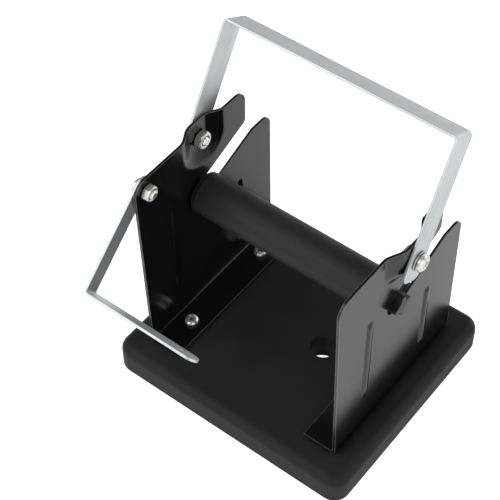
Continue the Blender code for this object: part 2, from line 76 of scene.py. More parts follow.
# Anti-slip sheet
PAD_CORNER = BASE_CORNER - 4 * MM
PAD_EDGE = 0.35 * MM
PAD_HOLE_RADIUS = 9.0 * MM
PAD_GROOVES = 9
GROOVE_WIDTH = 1.0 * MM
GROOVE_DEPTH = 0.4 * MM
GROOVE_END_GAP = 5.0 * MM

# Side plates
HALF_GAP = 59.0 * MM
SHEET = 1.5 * MM
BEND_RADIUS = 1.5 * MM
FLANGE_WIDTH = 18.0 * MM
FLANGE_TOP = slab_high.z + CLEAR + SHEET
PLATE_TOP = plate_high.z
FRONT_FOOT_Y = -51.5 * MM
FRONT_TOP_Y = -56.2 * MM
REAR_FOOT_Y = 52.2 * MM
REAR_TOP = (50.4 * MM, 109.6 * MM)
PRONG_REAR_Y = 29.3 * MM
FRONT_CORNER_ROUND = 8.0 * MM
PRONG_ROUND = 7.0 * MM
REAR_PRONG_ROUND = 6.0 * MM
LIP_ROUND = 6.0 * MM
UPPER_LIP_ROUND = 3.0 * MM
SLOT_ANGLE = math.radians(21.4)
SLOT_HALF_WIDTH = 6.65 * MM
SEAT_SHIFT = 0.8 * MM
SLOT_MOUTH_Y = 36.0 * MM
SEAT_STEPS = 30
BEND_STEPS = 10
PLATE_EDGE = 0.25 * MM
DISH_DEPTH = 4.8 * MM
DISH_FRONT = 19.0 * MM
DISH_REAR = 14.5 * MM
DISH_BELOW = 14.0 * MM
DISH_FLOOR = 0.30
DISH_STEP = 0.8 * MM
RIB_HALF_WIDTH = 3.0 * MM
RIB_HEIGHT = 1.1 * MM
RIB_FOOT_TAPER = 8.0 * MM
RIBS = ((-28.7 * MM, 106.5 * MM, 44.0 * MM), (23.5 * MM, 81.5 * MM, 32.0 * MM))
RIB_LINES = 7
RIB_FOOT_LINES = 10
LEAST_LINE_GAP = 0.15 * MM
PLATE_CUTTER_REACH = 10.0 * MM
FLANGE_HOLE_TOP = 30.0 * MM

# Fasteners
FLANGE_SCREW_RADIUS = 2.0 * MM
FLANGE_SCREW_HEAD = (3.8 * MM, 2.6 * MM)
FLANGE_SCREW_DEPTH = 12.0 * MM
BOLT_RADIUS = 2.5 * MM
BAR_BOLT_HEAD = (4.8 * MM, 3.0 * MM)
ARM_BOLT_HEAD = (4.4 * MM, 2.6 * MM)
THREAD_PITCH = 0.8 * MM
THREAD_DEPTH = 0.35 * MM
THREAD_END = 1.2 * MM
SHANK_TIP_TAPER = 0.34
HEAD_RIM = 0.12 * MM
HEAD_SIDE_SHARE = 0.32
HEAD_CROWN = 0.55
HEAD_STEPS = 16
HEAD_EDGE = 0.08 * MM
RECESS_HALF = 0.14
RECESS_REACH = 0.62
RECESS_FLOOR = 0.18
RECESS_TAPER = 0.42
SHIM_HEIGHT = 0.5 * MM
WASHER_RADIUS = 5.2 * MM
WASHER_EDGE = 0.12 * MM
NUT_HEIGHT = 4.0 * MM
NUT_EDGE = 0.12 * MM
NUT_BORE = BOLT_RADIUS + CLEAR * 0.7
NUT_BORE_CHAMFER = 0.5 * MM
NUT_BORE_FLARE = 3.0 * MM
BAR_NUT_FLATS = 9.0 * MM
ARM_NUT_FLATS = 8.0 * MM

# Swinging guides
STRIP = 1.5 * MM
BAR_ANGLE = math.radians(60.8)
BAR_REACH = 65.2 * MM
BAR_LEAN = 0.8 * MM
BAR_STRIP_WIDTH = 16.3 * MM
BAR_TAIL = 11.8 * MM
BAR_FOOT_ROUND = 5.0 * MM
BAR_BEND = 1.2 * MM
BAR_STRIP_X = HALF_GAP + DISH_DEPTH + SHEET + CLEAR
ARM_ANGLE = math.radians(222.5)
ARM_REACH = 58.3 * MM
ARM_STRIP_WIDTH = 10.0 * MM
ARM_BEND = 0.8 * MM
ARM_BAR_LENGTH = 68.5 * MM
ARM_EYE_RADIUS = 1.2 * MM
ARM_EYE_INSET = 10.0 * MM
ARM_TAIL = ARM_STRIP_WIDTH / 2 + 1.5 * MM
ARM_STRIP_X = HALF_GAP + SHEET + CLEAR + SHIM_HEIGHT + CLEAR
SHEARED_EDGE = 0.28 * MM

# Roller
TUBE_RADIUS = 11.5 * MM
TUBE_WALL = 2.2 * MM
BUSH_FLANGE = 1.8 * MM
BUSH_LENGTH = 12.0 * MM
HUB_RADIUS = 5.0 * MM
HUB_LENGTH = 18.0 * MM
STAR_RADIUS = 6.5 * MM
STAR_WAIST = 3.7 * MM
STAR_TIP_HALF = 0.9 * MM
STAR_PROUD = 4.2 * MM
STAR_HOLLOW = 0.8
STAR_GAP = 0.5 * MM
STAR_EDGE = 0.22 * MM
ROD_RADIUS = 3.0 * MM
ROLLER_EDGE = 0.5 * MM
TUBE_RING_STEP = 4.0 * MM

# Camera
CAMERA_AZIMUTH = 37.998
CAMERA_ELEVATION = 50.013
CAMERA_ROLL = -0.416
CAMERA_DISTANCE = 765.1 * MM
CAMERA_TARGET = (-23.67 * MM, -12.83 * MM, 83.49 * MM)
CAMERA_LENS = 108.14
CAMERA_SENSOR = 36.0


# ------------------------------------------------------------------- meshes


def link(name, bm, smooth_angle=35.0):
    bmesh.ops.recalc_face_normals(bm, faces=bm.faces)
    mesh = bpy.data.meshes.new(name)
    bm.to_mesh(mesh)
    bm.free()
    mesh.shade_smooth()
    mesh.set_sharp_from_angle(angle=math.radians(smooth_angle))
    obj = bpy.data.objects.new(name, mesh)
    bpy.context.scene.collection.objects.link(obj)
    return obj


def boolean(obj, cutter, operation="DIFFERENCE"):
    step = obj.modifiers.new(cutter.name, "BOOLEAN")
    step.operation = operation
    step.solver = "EXACT"
    step.object = cutter


def soften(obj, width, segments=2, angle=35.0):
    """Round the sharp edges."""
    step = obj.modifiers.new("rounded edges", "BEVEL")
    step.width = width
    step.segments = segments
    step.limit_method = "ANGLE"
    step.angle_limit = math.radians(angle)
    step.harden_normals = False
    step.miter_outer = "MITER_ARC"


def bake(obj, smooth_angle=40.0):
    """Apply the modifiers, and take away the cutters that they used."""
    bpy.context.view_layer.update()
    graph = bpy.context.evaluated_depsgraph_get()
    mesh = bpy.data.meshes.new_from_object(obj.evaluated_get(graph))
    cutters = [step.object for step in obj.modifiers if step.type == "BOOLEAN"]
    obj.modifiers.clear()
    obj.data = mesh
    mesh.name = obj.name
    mesh.shade_smooth()
    mesh.set_sharp_from_angle(angle=math.radians(smooth_angle))
    for cutter in cutters:
        bpy.data.objects.remove(cutter, do_unlink=True)


def finish_piece(obj, look, body, *nodes):
    """Give a finished mesh its material and let it stand for its CAD nodes on their body."""
    obj.data.materials.clear()
    obj.data.materials.append(look)
    step = obj.modifiers.new("even shading", "WEIGHTED_NORMAL")
    step.keep_sharp = True
    step.weight = 80
    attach(obj, body)
    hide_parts(*nodes)
    return obj


def prism(outline, low, high, axis="X"):
    """Bmesh of a closed outline pushed along an axis.

    The outline's two numbers are the other two axes, in order.
    """
    bm = bmesh.new()

    def point(pair, along):
        a, b = pair
        return {"X": (along, a, b), "Y": (a, along, b), "Z": (a, b, along)}[axis]

    ends = [[bm.verts.new(point(pair, along)) for pair in outline] for along in (low, high)]
    bm.faces.new(ends[0])
    bm.faces.new(ends[1])
    for i in range(len(outline)):
        j = (i + 1) % len(outline)
        bm.faces.new((ends[0][i], ends[0][j], ends[1][j], ends[1][i]))
    return bm


def circle(radius, steps, centre=(0.0, 0.0), turn=0.0):
    return [
        (
            centre[0] + radius * math.cos(turn + 2 * math.pi * i / steps),
            centre[1] + radius * math.sin(turn + 2 * math.pi * i / steps),
        )
        for i in range(steps)
    ]


def rounded(corners, step=math.radians(6)):
    """Outline through the corners (a, b, radius), each corner rounded by an arc of its radius."""
    outline = []
    count = len(corners)
    for i, (a, b, radius) in enumerate(corners):
        here = Vector((a, b))
        back = (Vector(corners[i - 1][:2]) - here).normalized()
        ahead = (Vector(corners[(i + 1) % count][:2]) - here).normalized()
        if radius == 0:
            outline.append(tuple(here))
            continue
        half = back.angle(ahead) / 2
        centre = here + (back + ahead).normalized() * radius / math.sin(half)
        first = here + back * radius / math.tan(half) - centre
        last = here + ahead * radius / math.tan(half) - centre
        turn = first.angle_signed(last)
        pieces = max(2, math.ceil(abs(turn) / step))
        for k in range(pieces + 1):
            arm = first.copy()
            arm.rotate(Matrix.Rotation(-turn * k / pieces, 2))
            outline.append(tuple(centre + arm))
    return outline


def lathe(profile, steps=64, thread=None):
    """Bmesh of a profile of (x, radius) turned about X. The first and last radius are 0.

    thread is (low x, high x, pitch, depth) of a helical groove.
    """
    bm = bmesh.new()
    rings = []
    for x, radius in profile:
        if radius == 0:
            rings.append([bm.verts.new((x, 0, 0))])
            continue
        ring = []
        for i in range(steps):
            turn = 2 * math.pi * i / steps
            reach = radius
            if thread and thread[0] <= x <= thread[1]:
                phase = (x / thread[2] - i / steps) % 1.0
                reach -= thread[3] * abs(2 * phase - 1)
            ring.append(bm.verts.new((x, reach * math.cos(turn), reach * math.sin(turn))))
        rings.append(ring)
    for low, high in zip(rings, rings[1:]):
        for i in range(steps):
            j = (i + 1) % steps
            ring = [low[i % len(low)], low[j % len(low)], high[j % len(high)], high[i % len(high)]]
            bm.faces.new(list(dict.fromkeys(ring)))
    return bm


def cylinder(name, radius, low, high, axis="X", steps=64):
    return link(name, prism(circle(radius, steps), low, high, axis))


def spread(low, high, step):
    count = max(1, math.ceil((high - low) / step))
    return [low + (high - low) * i / count for i in range(count + 1)]


def smooth(value):
    value = min(1.0, max(0.0, value))
    return value * value * (3 - 2 * value)


# ---------------------------------------------------------------- materials


class Nodes:
    """Short ways to wire the nodes of one material, named after its slot in the record.

    The suffix keeps its name apart from the CAD's own material, which has the slot's plain name.
    """

    def __init__(self, slot):
        self.material = bpy.data.materials.new(slot + LOOK_SUFFIX)
        self.material.use_nodes = True
        self.tree = self.material.node_tree
        self.shader = self.tree.nodes["Principled BSDF"]
        self.coords = self.add("ShaderNodeTexCoord").outputs["Object"]

    def add(self, kind, inputs=None, **settings):
        node = self.tree.nodes.new(kind)
        for key, value in settings.items():
            setattr(node, key, value)
        for key, value in (inputs or {}).items():
            self.put(node.inputs[key], value)
        return node

    def put(self, socket, value):
        if isinstance(value, bpy.types.NodeSocket):
            self.tree.links.new(value, socket)
        else:
            socket.default_value = value

    def stretched(self, scale, source=None):
        mapping = self.add("ShaderNodeMapping", {"Vector": source or self.coords, "Scale": scale})
        return mapping.outputs["Vector"]

    def noise(self, scale, detail=3.0, rough=0.55, vector=None):
        node = self.add(
            "ShaderNodeTexNoise",
            {"Vector": vector or self.coords, "Scale": scale, "Detail": detail, "Roughness": rough},
        )
        return node.outputs["Fac"]

    def span(self, value, low, high, to_low, to_high):
        node = self.add(
            "ShaderNodeMapRange",
            {"Value": value, "From Min": low, "From Max": high, "To Min": to_low, "To Max": to_high},
        )
        return node.outputs["Result"]

    def mix(self, factor, first, second):
        node = self.add("ShaderNodeMix", data_type="RGBA")
        self.put(node.inputs[0], factor)
        self.put(node.inputs[6], first)
        self.put(node.inputs[7], second)
        return node.outputs[2]

    def calc(self, operation, first, second=0.0):
        node = self.add("ShaderNodeMath", operation=operation)
        self.put(node.inputs[0], first)
        self.put(node.inputs[1], second)
        return node.outputs[0]

    def edges(self, reach, low=0.03, high=0.20):
        """1 within reach of the mesh's edges, 0 elsewhere."""
        softened = self.add("ShaderNodeBevel", {"Radius": reach}, samples=6).outputs["Normal"]
        plain = self.add("ShaderNodeNewGeometry").outputs["Normal"]
        likeness = self.add("ShaderNodeVectorMath", {0: softened, 1: plain}, operation="DOT_PRODUCT")
        return self.span(likeness.outputs["Value"], 1 - low, 1 - high, 0.0, 1.0)

    def bump(self, height, distance, strength=1.0, normal=None):
        inputs = {"Height": height, "Distance": distance, "Strength": strength}
        if normal:
            inputs["Normal"] = normal
        return self.add("ShaderNodeBump", inputs).outputs["Normal"]

    def set(self, **values):
        for key, value in values.items():
            self.put(self.shader.inputs[key.replace("_", " ")], value)
        return self.material


def grey(level, tint=(1.0, 1.0, 1.0)):
    return (*(level * part for part in tint), 1.0)


def slab_look():
    """Satin black with a fine moulded texture, a little paler where hands and tools rub the edges, and
    painted shade in the hole and in the corners.
    """
    look = Nodes("slab_black")
    grain = look.noise(1500.0, 2.0, 0.6)
    cloud = look.noise(28.0, 4.0, 0.6)
    scuffs = look.noise(160.0, 5.0, 0.7, look.stretched((1.0, 0.25, 1.0)))
    patches = look.span(cloud, 0.3, 0.7, 0.0, 1.0)
    base = look.mix(patches, grey(0.0190, (1, 1, 1.06)), grey(0.0240, (1, 1, 1.05)))
    worn = look.calc("MULTIPLY", look.edges(0.0022, 0.01, 0.12), look.span(scuffs, 0.4, 0.65, 0.3, 1.0))
    colour = look.mix(look.calc("MULTIPLY", worn, 0.4), base, grey(0.024))
    rough = look.calc("ADD", look.span(cloud, 0.3, 0.7, 0.44, 0.54), look.span(scuffs, 0.55, 0.75, 0.0, 0.05))
    # Painted shade: ambient occlusion darkens the colour and lowers the specular level in the hole and in
    # tight corners.
    slab_painted_shade = look.add("ShaderNodeAmbientOcclusion", {"Distance": 0.010}, samples=8).outputs["AO"]
    colour = look.mix(look.span(slab_painted_shade, 0.35, 0.8, 0.0, 1.0), grey(0.002), colour)
    sheen = look.span(slab_painted_shade, 0.35, 0.8, 0.04, 0.33)
    normal = look.bump(grain, 0.00006, 0.55)
    return look.set(Base_Color=colour, Roughness=rough, Normal=normal, IOR=1.26, Specular_IOR_Level=sheen)


def plate_look():
    """Glossy black paint with a slight orange peel, paler on the sheared edges: thin paint there, and a
    painted highlight.
    """
    look = Nodes("plate_black")
    peel = look.noise(420.0, 2.0, 0.5)
    cloud = look.noise(24.0, 4.0, 0.6)
    dust = look.noise(2200.0, 2.0, 0.6)
    base = look.mix(look.span(cloud, 0.35, 0.7, 0.0, 1.0), grey(0.0028), grey(0.0048, (1, 1, 0.98)))
    # Paler sheared edges: thin paint, with a painted highlight along them.
    colour = look.mix(look.calc("MULTIPLY", look.edges(0.0006), 0.85), base, grey(0.24))
    rough = look.calc("ADD", look.span(cloud, 0.3, 0.7, 0.17, 0.23), look.span(dust, 0.62, 0.8, 0.0, 0.02))
    normal = look.bump(peel, 0.00003, 0.30)
    return look.set(Base_Color=colour, Roughness=rough, Normal=normal, IOR=1.47)


def tube_look():
    """Matte black tube with faint drawn lines along it."""
    look = Nodes("tube_black")
    lines = look.noise(900.0, 3.0, 0.6, look.stretched((0.03, 1.0, 1.0)))
    grain = look.noise(1700.0, 2.0, 0.6)
    cloud = look.noise(35.0, 3.0, 0.6, look.stretched((0.5, 1.0, 1.0)))
    colour = look.mix(look.span(cloud, 0.3, 0.7, 0.0, 1.0), grey(0.015), grey(0.022))
    rough = look.span(lines, 0.3, 0.7, 0.44, 0.56)
    normal = look.bump(lines, 0.00004, 0.35, look.bump(grain, 0.00003, 0.3))
    return look.set(Base_Color=colour, Roughness=rough, Normal=normal, IOR=1.34)


def plug_look():
    """Moulded black plastic."""
    look = Nodes("plug_black")
    grain = look.noise(2400.0, 2.0, 0.6)
    cloud = look.noise(180.0, 3.0, 0.6)
    colour = look.mix(look.edges(0.0004), grey(0.006), grey(0.022))
    rough = look.span(cloud, 0.3, 0.7, 0.34, 0.48)
    return look.set(Base_Color=colour, Roughness=rough, Normal=look.bump(grain, 0.00003, 0.4))


def zinc_look():
    """Zinc-plated strip: satin, with fine lines along its length and tiny pits, and edges darkened as painted
    shade to tone down their reflection.
    """
    look = Nodes("zinc_strip")
    parts = look.add("ShaderNodeSeparateXYZ", {"Vector": look.coords}).outputs
    on_leg = look.calc("GREATER_THAN", look.calc("ABSOLUTE", parts["X"]), 0.0612)
    along_x = look.noise(700.0, 4.0, 0.65, look.stretched((0.035, 1.0, 1.0)))
    along_z = look.noise(700.0, 4.0, 0.65, look.stretched((1.0, 1.0, 0.035)))
    lines = look.add("ShaderNodeMix", {0: on_leg}, data_type="FLOAT")
    look.put(lines.inputs[2], along_x)
    look.put(lines.inputs[3], along_z)
    lines = lines.outputs[0]
    cloud = look.noise(55.0, 4.0, 0.6)
    pits = look.noise(2600.0, 2.0, 0.5)
    patches = look.span(cloud, 0.3, 0.7, 0.0, 1.0)
    tint = look.mix(patches, grey(0.62, (0.97, 1.0, 1.015)), grey(0.70, (0.985, 1.0, 1.005)))
    tint = look.mix(look.span(lines, 0.35, 0.75, 0.0, 0.35), tint, grey(0.48, (0.96, 1.0, 1.03)))
    # Painted shade: the sheared edges are darkened to tone down their bright reflection.
    colour = look.mix(look.calc("MULTIPLY", look.edges(0.0007), 0.9), tint, grey(0.40))
    rough = look.calc("ADD", look.span(lines, 0.3, 0.7, 0.44, 0.54), look.span(pits, 0.6, 0.8, 0.0, 0.10))
    normal = look.bump(lines, 0.00002, 0.25, look.bump(pits, 0.00002, 0.12))
    return look.set(Base_Color=colour, Metallic=1.0, Roughness=rough, Normal=normal)


def nickel_look():
    """Bright nickel plate with light handling marks, and painted shade in the cross recesses and thread
    grooves.
    """
    look = Nodes("nickel")
    scratches = look.noise(900.0, 5.0, 0.7, look.stretched((1.0, 0.12, 0.6)))
    cloud = look.noise(240.0, 3.0, 0.6)
    patches = look.span(cloud, 0.3, 0.7, 0.0, 1.0)
    tint = look.mix(patches, grey(0.72, (1.0, 0.985, 0.95)), grey(0.82, (1.0, 0.99, 0.96)))
    colour = look.mix(look.edges(0.0002), tint, grey(0.92))
    # Painted shade: ambient occlusion darkens the colour in the cross recesses and thread grooves.
    recess_painted_shade = look.add("ShaderNodeAmbientOcclusion", {"Distance": 0.0009}, samples=8)
    colour = look.mix(look.span(recess_painted_shade.outputs["AO"], 0.35, 0.70, 0.0, 1.0), grey(0.05), colour)
    marks = look.span(scratches, 0.58, 0.75, 0.0, 0.15)
    rough = look.calc("ADD", look.span(cloud, 0.3, 0.7, 0.20, 0.28), marks)
    normal = look.bump(scratches, 0.00001, 0.3)
    return look.set(Base_Color=colour, Metallic=0.82, Roughness=rough, Normal=normal)


def steel_look():
    """Plain turned steel."""
    look = Nodes("plain_steel")
    rings = look.noise(1400.0, 3.0, 0.6, look.stretched((1.0, 0.2, 0.2)))
    colour = look.mix(look.span(rings, 0.3, 0.7, 0.0, 1.0), grey(0.46), grey(0.60, (1.0, 0.99, 0.97)))
    rough = look.span(rings, 0.3, 0.7, 0.22, 0.36)
    return look.set(Base_Color=colour, Metallic=1.0, Roughness=rough, Normal=look.bump(rings, 0.00001, 0.3))


def rubber_look():
    """Dull anti-slip sheet."""
    look = Nodes("pad_rubber")
    pores = look.noise(900.0, 4.0, 0.7)
    colour = look.mix(look.span(pores, 0.35, 0.7, 0.0, 1.0), grey(0.016), grey(0.028))
    rough = look.span(pores, 0.3, 0.7, 0.75, 0.92)
    return look.set(Base_Color=colour, Roughness=rough, Normal=look.bump(pores, 0.0001, 0.6))


# --------------------------------------------------------------------- slab


def ring_outline(half_x, half_y, radius, inset):
    """Rounded rectangle whose sides are moved inward by inset."""
    x = half_x - inset
    y = half_y - inset
    corners = ((x, y), (-x, y), (-x, -y), (x, -y))
    return rounded([(*corner, radius - inset) for corner in corners], math.radians(5))


def quarter(radius, steps):
    """(inset, drop) pairs down a quarter round, from its flat top to its side."""
    for k in range(steps + 1):
        turn = math.pi / 2 * k / steps
        yield radius * (1 - math.sin(turn)), radius * (1 - math.cos(turn))


def stacked(levels, half_x, half_y, radius):
    """Bmesh of rounded rectangles, one above another. levels holds (z, inset)."""
    bm = bmesh.new()
    rings = []
    for z, inset in levels:
        rings.append([bm.verts.new((x, y, z)) for x, y in ring_outline(half_x, half_y, radius, inset)])
    bm.faces.new(rings[0])
    bm.faces.new(rings[-1])
    for low, high in zip(rings, rings[1:]):
        for i in range(len(low)):
            j = (i + 1) % len(low)
            bm.faces.new((low[i], low[j], high[j], high[i]))
    return bm


def flared_hole(name, radius, low, high, flare, chamfer):
    """Cutter for a round hole along Z, flared below and chamfered above."""
    profile = [
        (low - OVERCUT, 0),
        (low - OVERCUT, radius + flare + OVERCUT),
        (low + flare, radius),
        (high - chamfer, radius),
        (high + OVERCUT, radius + chamfer + OVERCUT),
        (high + OVERCUT, 0),
    ]
    cutter = link(name, lathe(profile, 72))
    cutter.data.transform(Matrix.Rotation(-math.pi / 2, 4, "Y"))
    return cutter


def build_slab(look):
    levels = [(slab_low.z + drop, inset) for inset, drop in quarter(BASE_FOOT_ROUND, 6)]
    levels += [(slab_high.z - drop, inset) for inset, drop in reversed(list(quarter(BASE_TOP_ROUND, 14)))]
    slab = link("slab", stacked(levels, slab_high.x, slab_high.y, BASE_CORNER))
    hole = flared_hole(
        "slab_hole", CABLE_HOLE_RADIUS, slab_low.z, slab_high.z, CABLE_HOLE_FLARE, CABLE_HOLE_CHAMFER
    )
    hole.location = (*CABLE_HOLE_CENTRE, 0)
    boolean(slab, hole)
    for side, _ in SIDES:
        for end in ("front", "rear"):
            low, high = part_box(f"flange_screw_{side}_{end}")
            radius = FLANGE_SCREW_RADIUS + CLEAR
            pilot = cylinder(
                f"pilot_{side}_{end}", radius, low.z - CLEAR, slab_high.z + OVERCUT, "Z", 32
            )
            pilot.location = ((low.x + high.x) / 2, (low.y + high.y) / 2, 0)
            boolean(slab, pilot)
    bake(slab)
    finish_piece(slab, look, "stand", "base_slab")


def build_pad(look):
    """Sheet with rounded rims and a row of shallow grooves in its underside."""
    levels = [(pad_low.z + drop, inset) for inset, drop in quarter(PAD_EDGE, 3)]
    levels += [(pad_high.z - drop, inset) for inset, drop in reversed(list(quarter(PAD_EDGE, 3)))]
    pad = link("anti_slip_sheet", stacked(levels, pad_high.x, pad_high.y, PAD_CORNER))
    hole = cylinder("sheet_hole", PAD_HOLE_RADIUS, pad_low.z - OVERCUT, pad_high.z + OVERCUT, "Z", 72)
    hole.location = (*CABLE_HOLE_CENTRE, 0)
    boolean(pad, hole)
    bars = bmesh.new()
    size = (GROOVE_WIDTH, 2 * (pad_high.y - GROOVE_END_GAP), 2 * GROOVE_DEPTH)
    for k in range(PAD_GROOVES):
        x = pad_high.x * (2 * (k + 0.5) / PAD_GROOVES - 1)
        matrix = Matrix.LocRotScale((x, 0, pad_low.z), None, size)
        bmesh.ops.create_cube(bars, size=1.0, matrix=matrix)
    grooves = link("sheet_grooves", bars)
    boolean(pad, grooves)
    bake(pad)
    finish_piece(pad, look, "stand", "anti_slip_pad")


# -------------------------------------------------------------- side plates


def slot_z(y):
    return AXLE.z + (y - AXLE.y) * math.tan(SLOT_ANGLE)


def plate_outline():
    """Outline of a side plate in YZ."""
    along = Vector((math.cos(SLOT_ANGLE), math.sin(SLOT_ANGLE)))
    across = Vector((-along.y, along.x))
    seat = Vector((AXLE.y, AXLE.z)) - along * SEAT_SHIFT
    rise = SLOT_HALF_WIDTH / math.cos(SLOT_ANGLE)
    lip = (SLOT_MOUTH_Y, slot_z(SLOT_MOUTH_Y) - rise)
    outline = rounded(
        [
            (FRONT_FOOT_Y, 0, 0),
            (REAR_FOOT_Y, 0, 0),
            (*REAR_TOP, REAR_PRONG_ROUND),
            (*lip, LIP_ROUND),
            (*(seat - across * SLOT_HALF_WIDTH), 0),
        ]
    )
    for k in range(1, SEAT_STEPS):
        turn = SLOT_ANGLE - math.pi / 2 - math.pi * k / SEAT_STEPS
        outline.append(tuple(seat + Vector((math.cos(turn), math.sin(turn))) * SLOT_HALF_WIDTH))
    lip_above = (PRONG_REAR_Y, slot_z(PRONG_REAR_Y) + rise)
    upper = rounded(
        [
            (*(seat + across * SLOT_HALF_WIDTH), 0),
            (*lip_above, UPPER_LIP_ROUND),
            (PRONG_REAR_Y, PLATE_TOP, PRONG_ROUND),
            (FRONT_TOP_Y, PLATE_TOP, FRONT_CORNER_ROUND),
            (FRONT_FOOT_Y, 0, 0),
        ]
    )
    return outline + upper[:-1]


def press_depth(y, z):
    """How far the sheet is pressed outward at a place: the dish round the bar's pivot, and the two ribs."""
    across = y - BAR_PIVOT.y
    across /= DISH_FRONT if across < 0 else DISH_REAR
    below = min(0.0, z - BAR_PIVOT.z) / DISH_BELOW
    depth = DISH_DEPTH * smooth((1 - math.hypot(across, below)) / (1 - DISH_FLOOR))
    for rib_y, rib_top, rib_foot in RIBS:
        away = math.hypot(y - rib_y, max(0.0, z - rib_top + RIB_HALF_WIDTH))
        foot = smooth((z - rib_foot) / RIB_FOOT_TAPER)
        depth += RIB_HEIGHT * foot * smooth(1 - away / RIB_HALF_WIDTH)
    return depth


def sheet_lines():
    """Y and Z places of the sheet's mesh lines, close together where it is pressed."""
    ys = [FRONT_TOP_Y - OVERCUT, REAR_FOOT_Y + OVERCUT]
    ys += spread(BAR_PIVOT.y - DISH_FRONT, BAR_PIVOT.y + DISH_REAR, DISH_STEP)
    zs = [FLANGE_TOP + BEND_RADIUS, PLATE_TOP + OVERCUT]
    zs += spread(BAR_PIVOT.z - DISH_BELOW, PLATE_TOP, DISH_STEP)
    for rib_y, rib_top, rib_foot in RIBS:
        ys += spread(rib_y - RIB_HALF_WIDTH, rib_y + RIB_HALF_WIDTH, RIB_HALF_WIDTH / RIB_LINES)
        zs += spread(rib_top - RIB_HALF_WIDTH, rib_top, RIB_HALF_WIDTH / RIB_LINES)
        zs += spread(rib_foot, rib_foot + RIB_FOOT_TAPER, RIB_FOOT_TAPER / RIB_FOOT_LINES)
    kept = []
    for values in (ys, zs):
        line = []
        for value in sorted(set(round(v, 6) for v in values)):
            if not line or value - line[-1] > LEAST_LINE_GAP:
                line.append(value)
        kept.append(line)
    return kept


def sheet_mesh(sign):
    """A plate's inner face, with its bend and its flange, as an open sheet whose faces point inward."""
    bm = bmesh.new()
    ys, zs = sheet_lines()
    rows = [[(HALF_GAP + press_depth(y, z), y, z) for y in ys] for z in reversed(zs)]
    centre = (HALF_GAP - BEND_RADIUS, FLANGE_TOP + BEND_RADIUS)
    for k in range(1, BEND_STEPS + 1):
        turn = math.pi / 2 * k / BEND_STEPS
        x = centre[0] + BEND_RADIUS * math.cos(turn)
        z = centre[1] - BEND_RADIUS * math.sin(turn)
        rows.append([(x, y, z) for y in ys])
    rows.append([(HALF_GAP - FLANGE_WIDTH, y, FLANGE_TOP) for y in ys])
    grid = [[bm.verts.new((sign * x, y, z)) for x, y, z in row] for row in rows]
    for upper, lower in zip(grid, grid[1:]):
        for i in range(len(ys) - 1):
            corners = (upper[i], upper[i + 1], lower[i + 1], lower[i])
            bm.faces.new(corners if sign > 0 else corners[::-1])
    bm.normal_update()
    bm.faces.ensure_lookup_table()
    if bm.faces[0].normal.x * sign > 0:
        bmesh.ops.reverse_faces(bm, faces=bm.faces)
    return bm


def build_plate(side, sign, look):
    bm = sheet_mesh(sign)
    mesh = bpy.data.meshes.new(f"plate_{side}")
    bm.to_mesh(mesh)
    bm.free()
    plate = bpy.data.objects.new(f"plate_{side}", mesh)
    bpy.context.scene.collection.objects.link(plate)
    thick = plate.modifiers.new("sheet thickness", "SOLIDIFY")
    thick.thickness = SHEET
    thick.offset = -1.0
    thick.use_even_offset = True
    inner = sign * (HALF_GAP - FLANGE_WIDTH - OVERCUT)
    outer = sign * (HALF_GAP + PLATE_CUTTER_REACH)
    reach = sorted((inner, outer))
    outline = link(f"{side}_outline", prism(plate_outline(), *reach))
    boolean(plate, outline, "INTERSECT")
    pivots = [BAR_PIVOT] if sign > 0 else [BAR_PIVOT, ARM_PIVOT]
    for k, pivot in enumerate(pivots):
        eye = cylinder(f"{side}_eye_{k}", BOLT_RADIUS + CLEAR, *reach)
        eye.location = (0, *pivot.yz)
        boolean(plate, eye)
    for end in ("front", "rear"):
        low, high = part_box(f"flange_screw_{side}_{end}")
        radius = FLANGE_SCREW_RADIUS + CLEAR
        hole = cylinder(f"{side}_{end}_hole", radius, slab_high.z, FLANGE_HOLE_TOP, "Z", 32)
        hole.location = ((low.x + high.x) / 2, (low.y + high.y) / 2, 0)
        boolean(plate, hole)
    soften(plate, PLATE_EDGE, 2, 50.0)
    bake(plate)
    finish_piece(plate, look, "stand", f"{side}_side_plate")


# ---------------------------------------------------------------- fasteners


def pan_head_profile(head, shank_radius, shank_length):
    """Head's bearing face at x = 0, the head at +x, the threaded shank at -x."""
    radius, height = head
    taper = shank_radius * SHANK_TIP_TAPER
    profile = [(-shank_length, 0), (-shank_length, shank_radius - taper)]
    for x in spread(-shank_length + taper, -THREAD_PITCH, THREAD_PITCH / 6):
        profile.append((x, shank_radius))
    profile += [(0, shank_radius), (0, radius * 0.93), (HEAD_RIM, radius * 0.985)]
    for k in range(HEAD_STEPS + 1):
        turn = math.pi / 2 * k / HEAD_STEPS
        x = height * (HEAD_SIDE_SHARE + (1 - HEAD_SIDE_SHARE) * math.sin(turn))
        profile.append((x, radius * math.cos(turn) ** HEAD_CROWN))
    profile[-1] = (height, 0)
    return profile


def cross_cutter(name, radius, height):
    """Cross recess: four arms that taper to a small flat floor."""
    half = radius * RECESS_HALF
    reach = radius * RECESS_REACH
    notch = half * 1.5
    outline = []
    for k in range(4):
        turn = math.pi / 2 * k
        for a, b in ((reach, -half), (reach, half), (notch, notch)):
            across = a * math.cos(turn) - b * math.sin(turn)
            along = a * math.sin(turn) + b * math.cos(turn)
            outline.append((across, along))
    bm = prism(outline, height * RECESS_FLOOR, height + CLEAR)
    for vert in bm.verts:
        if vert.co.x < height / 2:
            vert.co.yz = vert.co.yz * RECESS_TAPER
    return link(name, bm)


def placed(obj, sign, x, pivot):
    """Stand a fastener so that its +X points to the right when sign is 1 and to the left when it is -1."""
    turn = Matrix.Rotation(0.0 if sign > 0 else math.pi, 4, "Z")
    obj.data.transform(Matrix.Translation((x, pivot.y, pivot.z)) @ turn)


